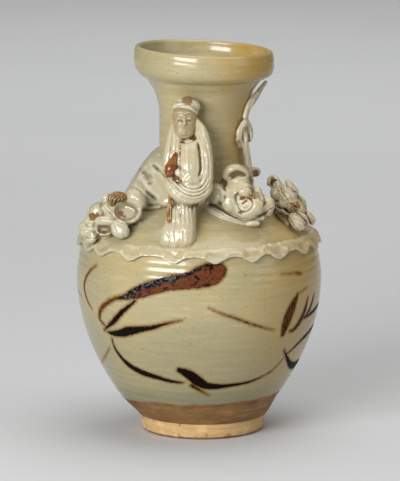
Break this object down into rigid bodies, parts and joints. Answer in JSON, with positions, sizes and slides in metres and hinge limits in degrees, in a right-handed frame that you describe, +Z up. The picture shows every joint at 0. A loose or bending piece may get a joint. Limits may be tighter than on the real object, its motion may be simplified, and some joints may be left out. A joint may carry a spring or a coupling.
{
  "type": "funerary urn",
  "caption": "Tall glazed stoneware urn with a flared mouth, a thumb-pressed shoulder frill, and a standing figure with coiled beasts laid on round the neck.",
  "frame": {"origin": "middle of the object's footprint, on the plane the foot stands on", "axes": "+Z up along the urn's height; -Y is the front, where the standing figure faces; +X to the viewer's right"},
  "size_m": [0.1678, 0.1672, 0.2635],
  "materials": {
    "glaze": "glossy grey-green glaze, pooled and speckled",
    "ornament_glaze": "glossy pale glaze over hand-modelled clay",
    "biscuit": "unglazed, scraped",
    "bare_clay": "unglazed, smeared by hand",
    "iron_red": "iron-red slip under a thin glaze",
    "iron_brown": "iron-brown wash under glaze"
  },
  "bodies": {
    "root": {"foot_ring": "biscuit", "body": "glaze", "shoulder": "glaze", "neck": "glaze", "mouth": "glaze", "shoulder_seam_coil": "bare_clay", "shoulder_frill": "glaze", "figure_head": "ornament_glaze", "figure_cap_brim": "ornament_glaze", "figure_cap": "ornament_glaze", "figure_skirt": "ornament_glaze", "figure_robe": "ornament_glaze", "figure_chest_fold": "ornament_glaze", "figure_right_sleeve": "ornament_glaze", "figure_hand": "ornament_glaze", "figure_gourd": "iron_red", "figure_lapel": "ornament_glaze", "figure_sash": "ornament_glaze", "figure_tassel": "iron_brown", "figure_side_panel": "ornament_glaze", "dragon_eye": "ornament_glaze", "dragon_head": "ornament_glaze", "dragon_crest": "ornament_glaze", "dragon_brow": "ornament_glaze", "dragon_horn": "ornament_glaze", "dragon_snout": "ornament_glaze", "dragon_lower_lip": "ornament_glaze", "dragon_cheek": "ornament_glaze", "dragon_mane": "ornament_glaze", "dragon_pearl": "ornament_glaze", "dragon_upper_whisker": "ornament_glaze", "dragon_lower_whisker": "ornament_glaze", "left_beast_jaws": "ornament_glaze", "left_beast_lips": "ornament_glaze", "left_beast_head": "ornament_glaze", "left_beast_crest": "iron_brown", "left_beast_crest_tip": "ornament_glaze", "left_beast_ear": "ornament_glaze", "left_beast_cheek": "ornament_glaze", "left_beast_nose": "ornament_glaze", "left_beast_paw": "ornament_glaze", "beast_flank": "ornament_glaze", "tail_fold": "ornament_glaze", "tail_strand": "ornament_glaze", "tail_leaf": "ornament_glaze", "tail_knob": "ornament_glaze", "bird_body": "ornament_glaze", "bird_head": "ornament_glaze", "bird_breast": "ornament_glaze", "bird_near_feather": "ornament_glaze", "bird_tall_feather": "ornament_glaze", "bird_far_feather": "ornament_glaze", "bird_brown_feather": "iron_brown", "bird_wing": "ornament_glaze", "bird_tail": "ornament_glaze", "bird_perch": "ornament_glaze"}
  },
  "joints": []
}
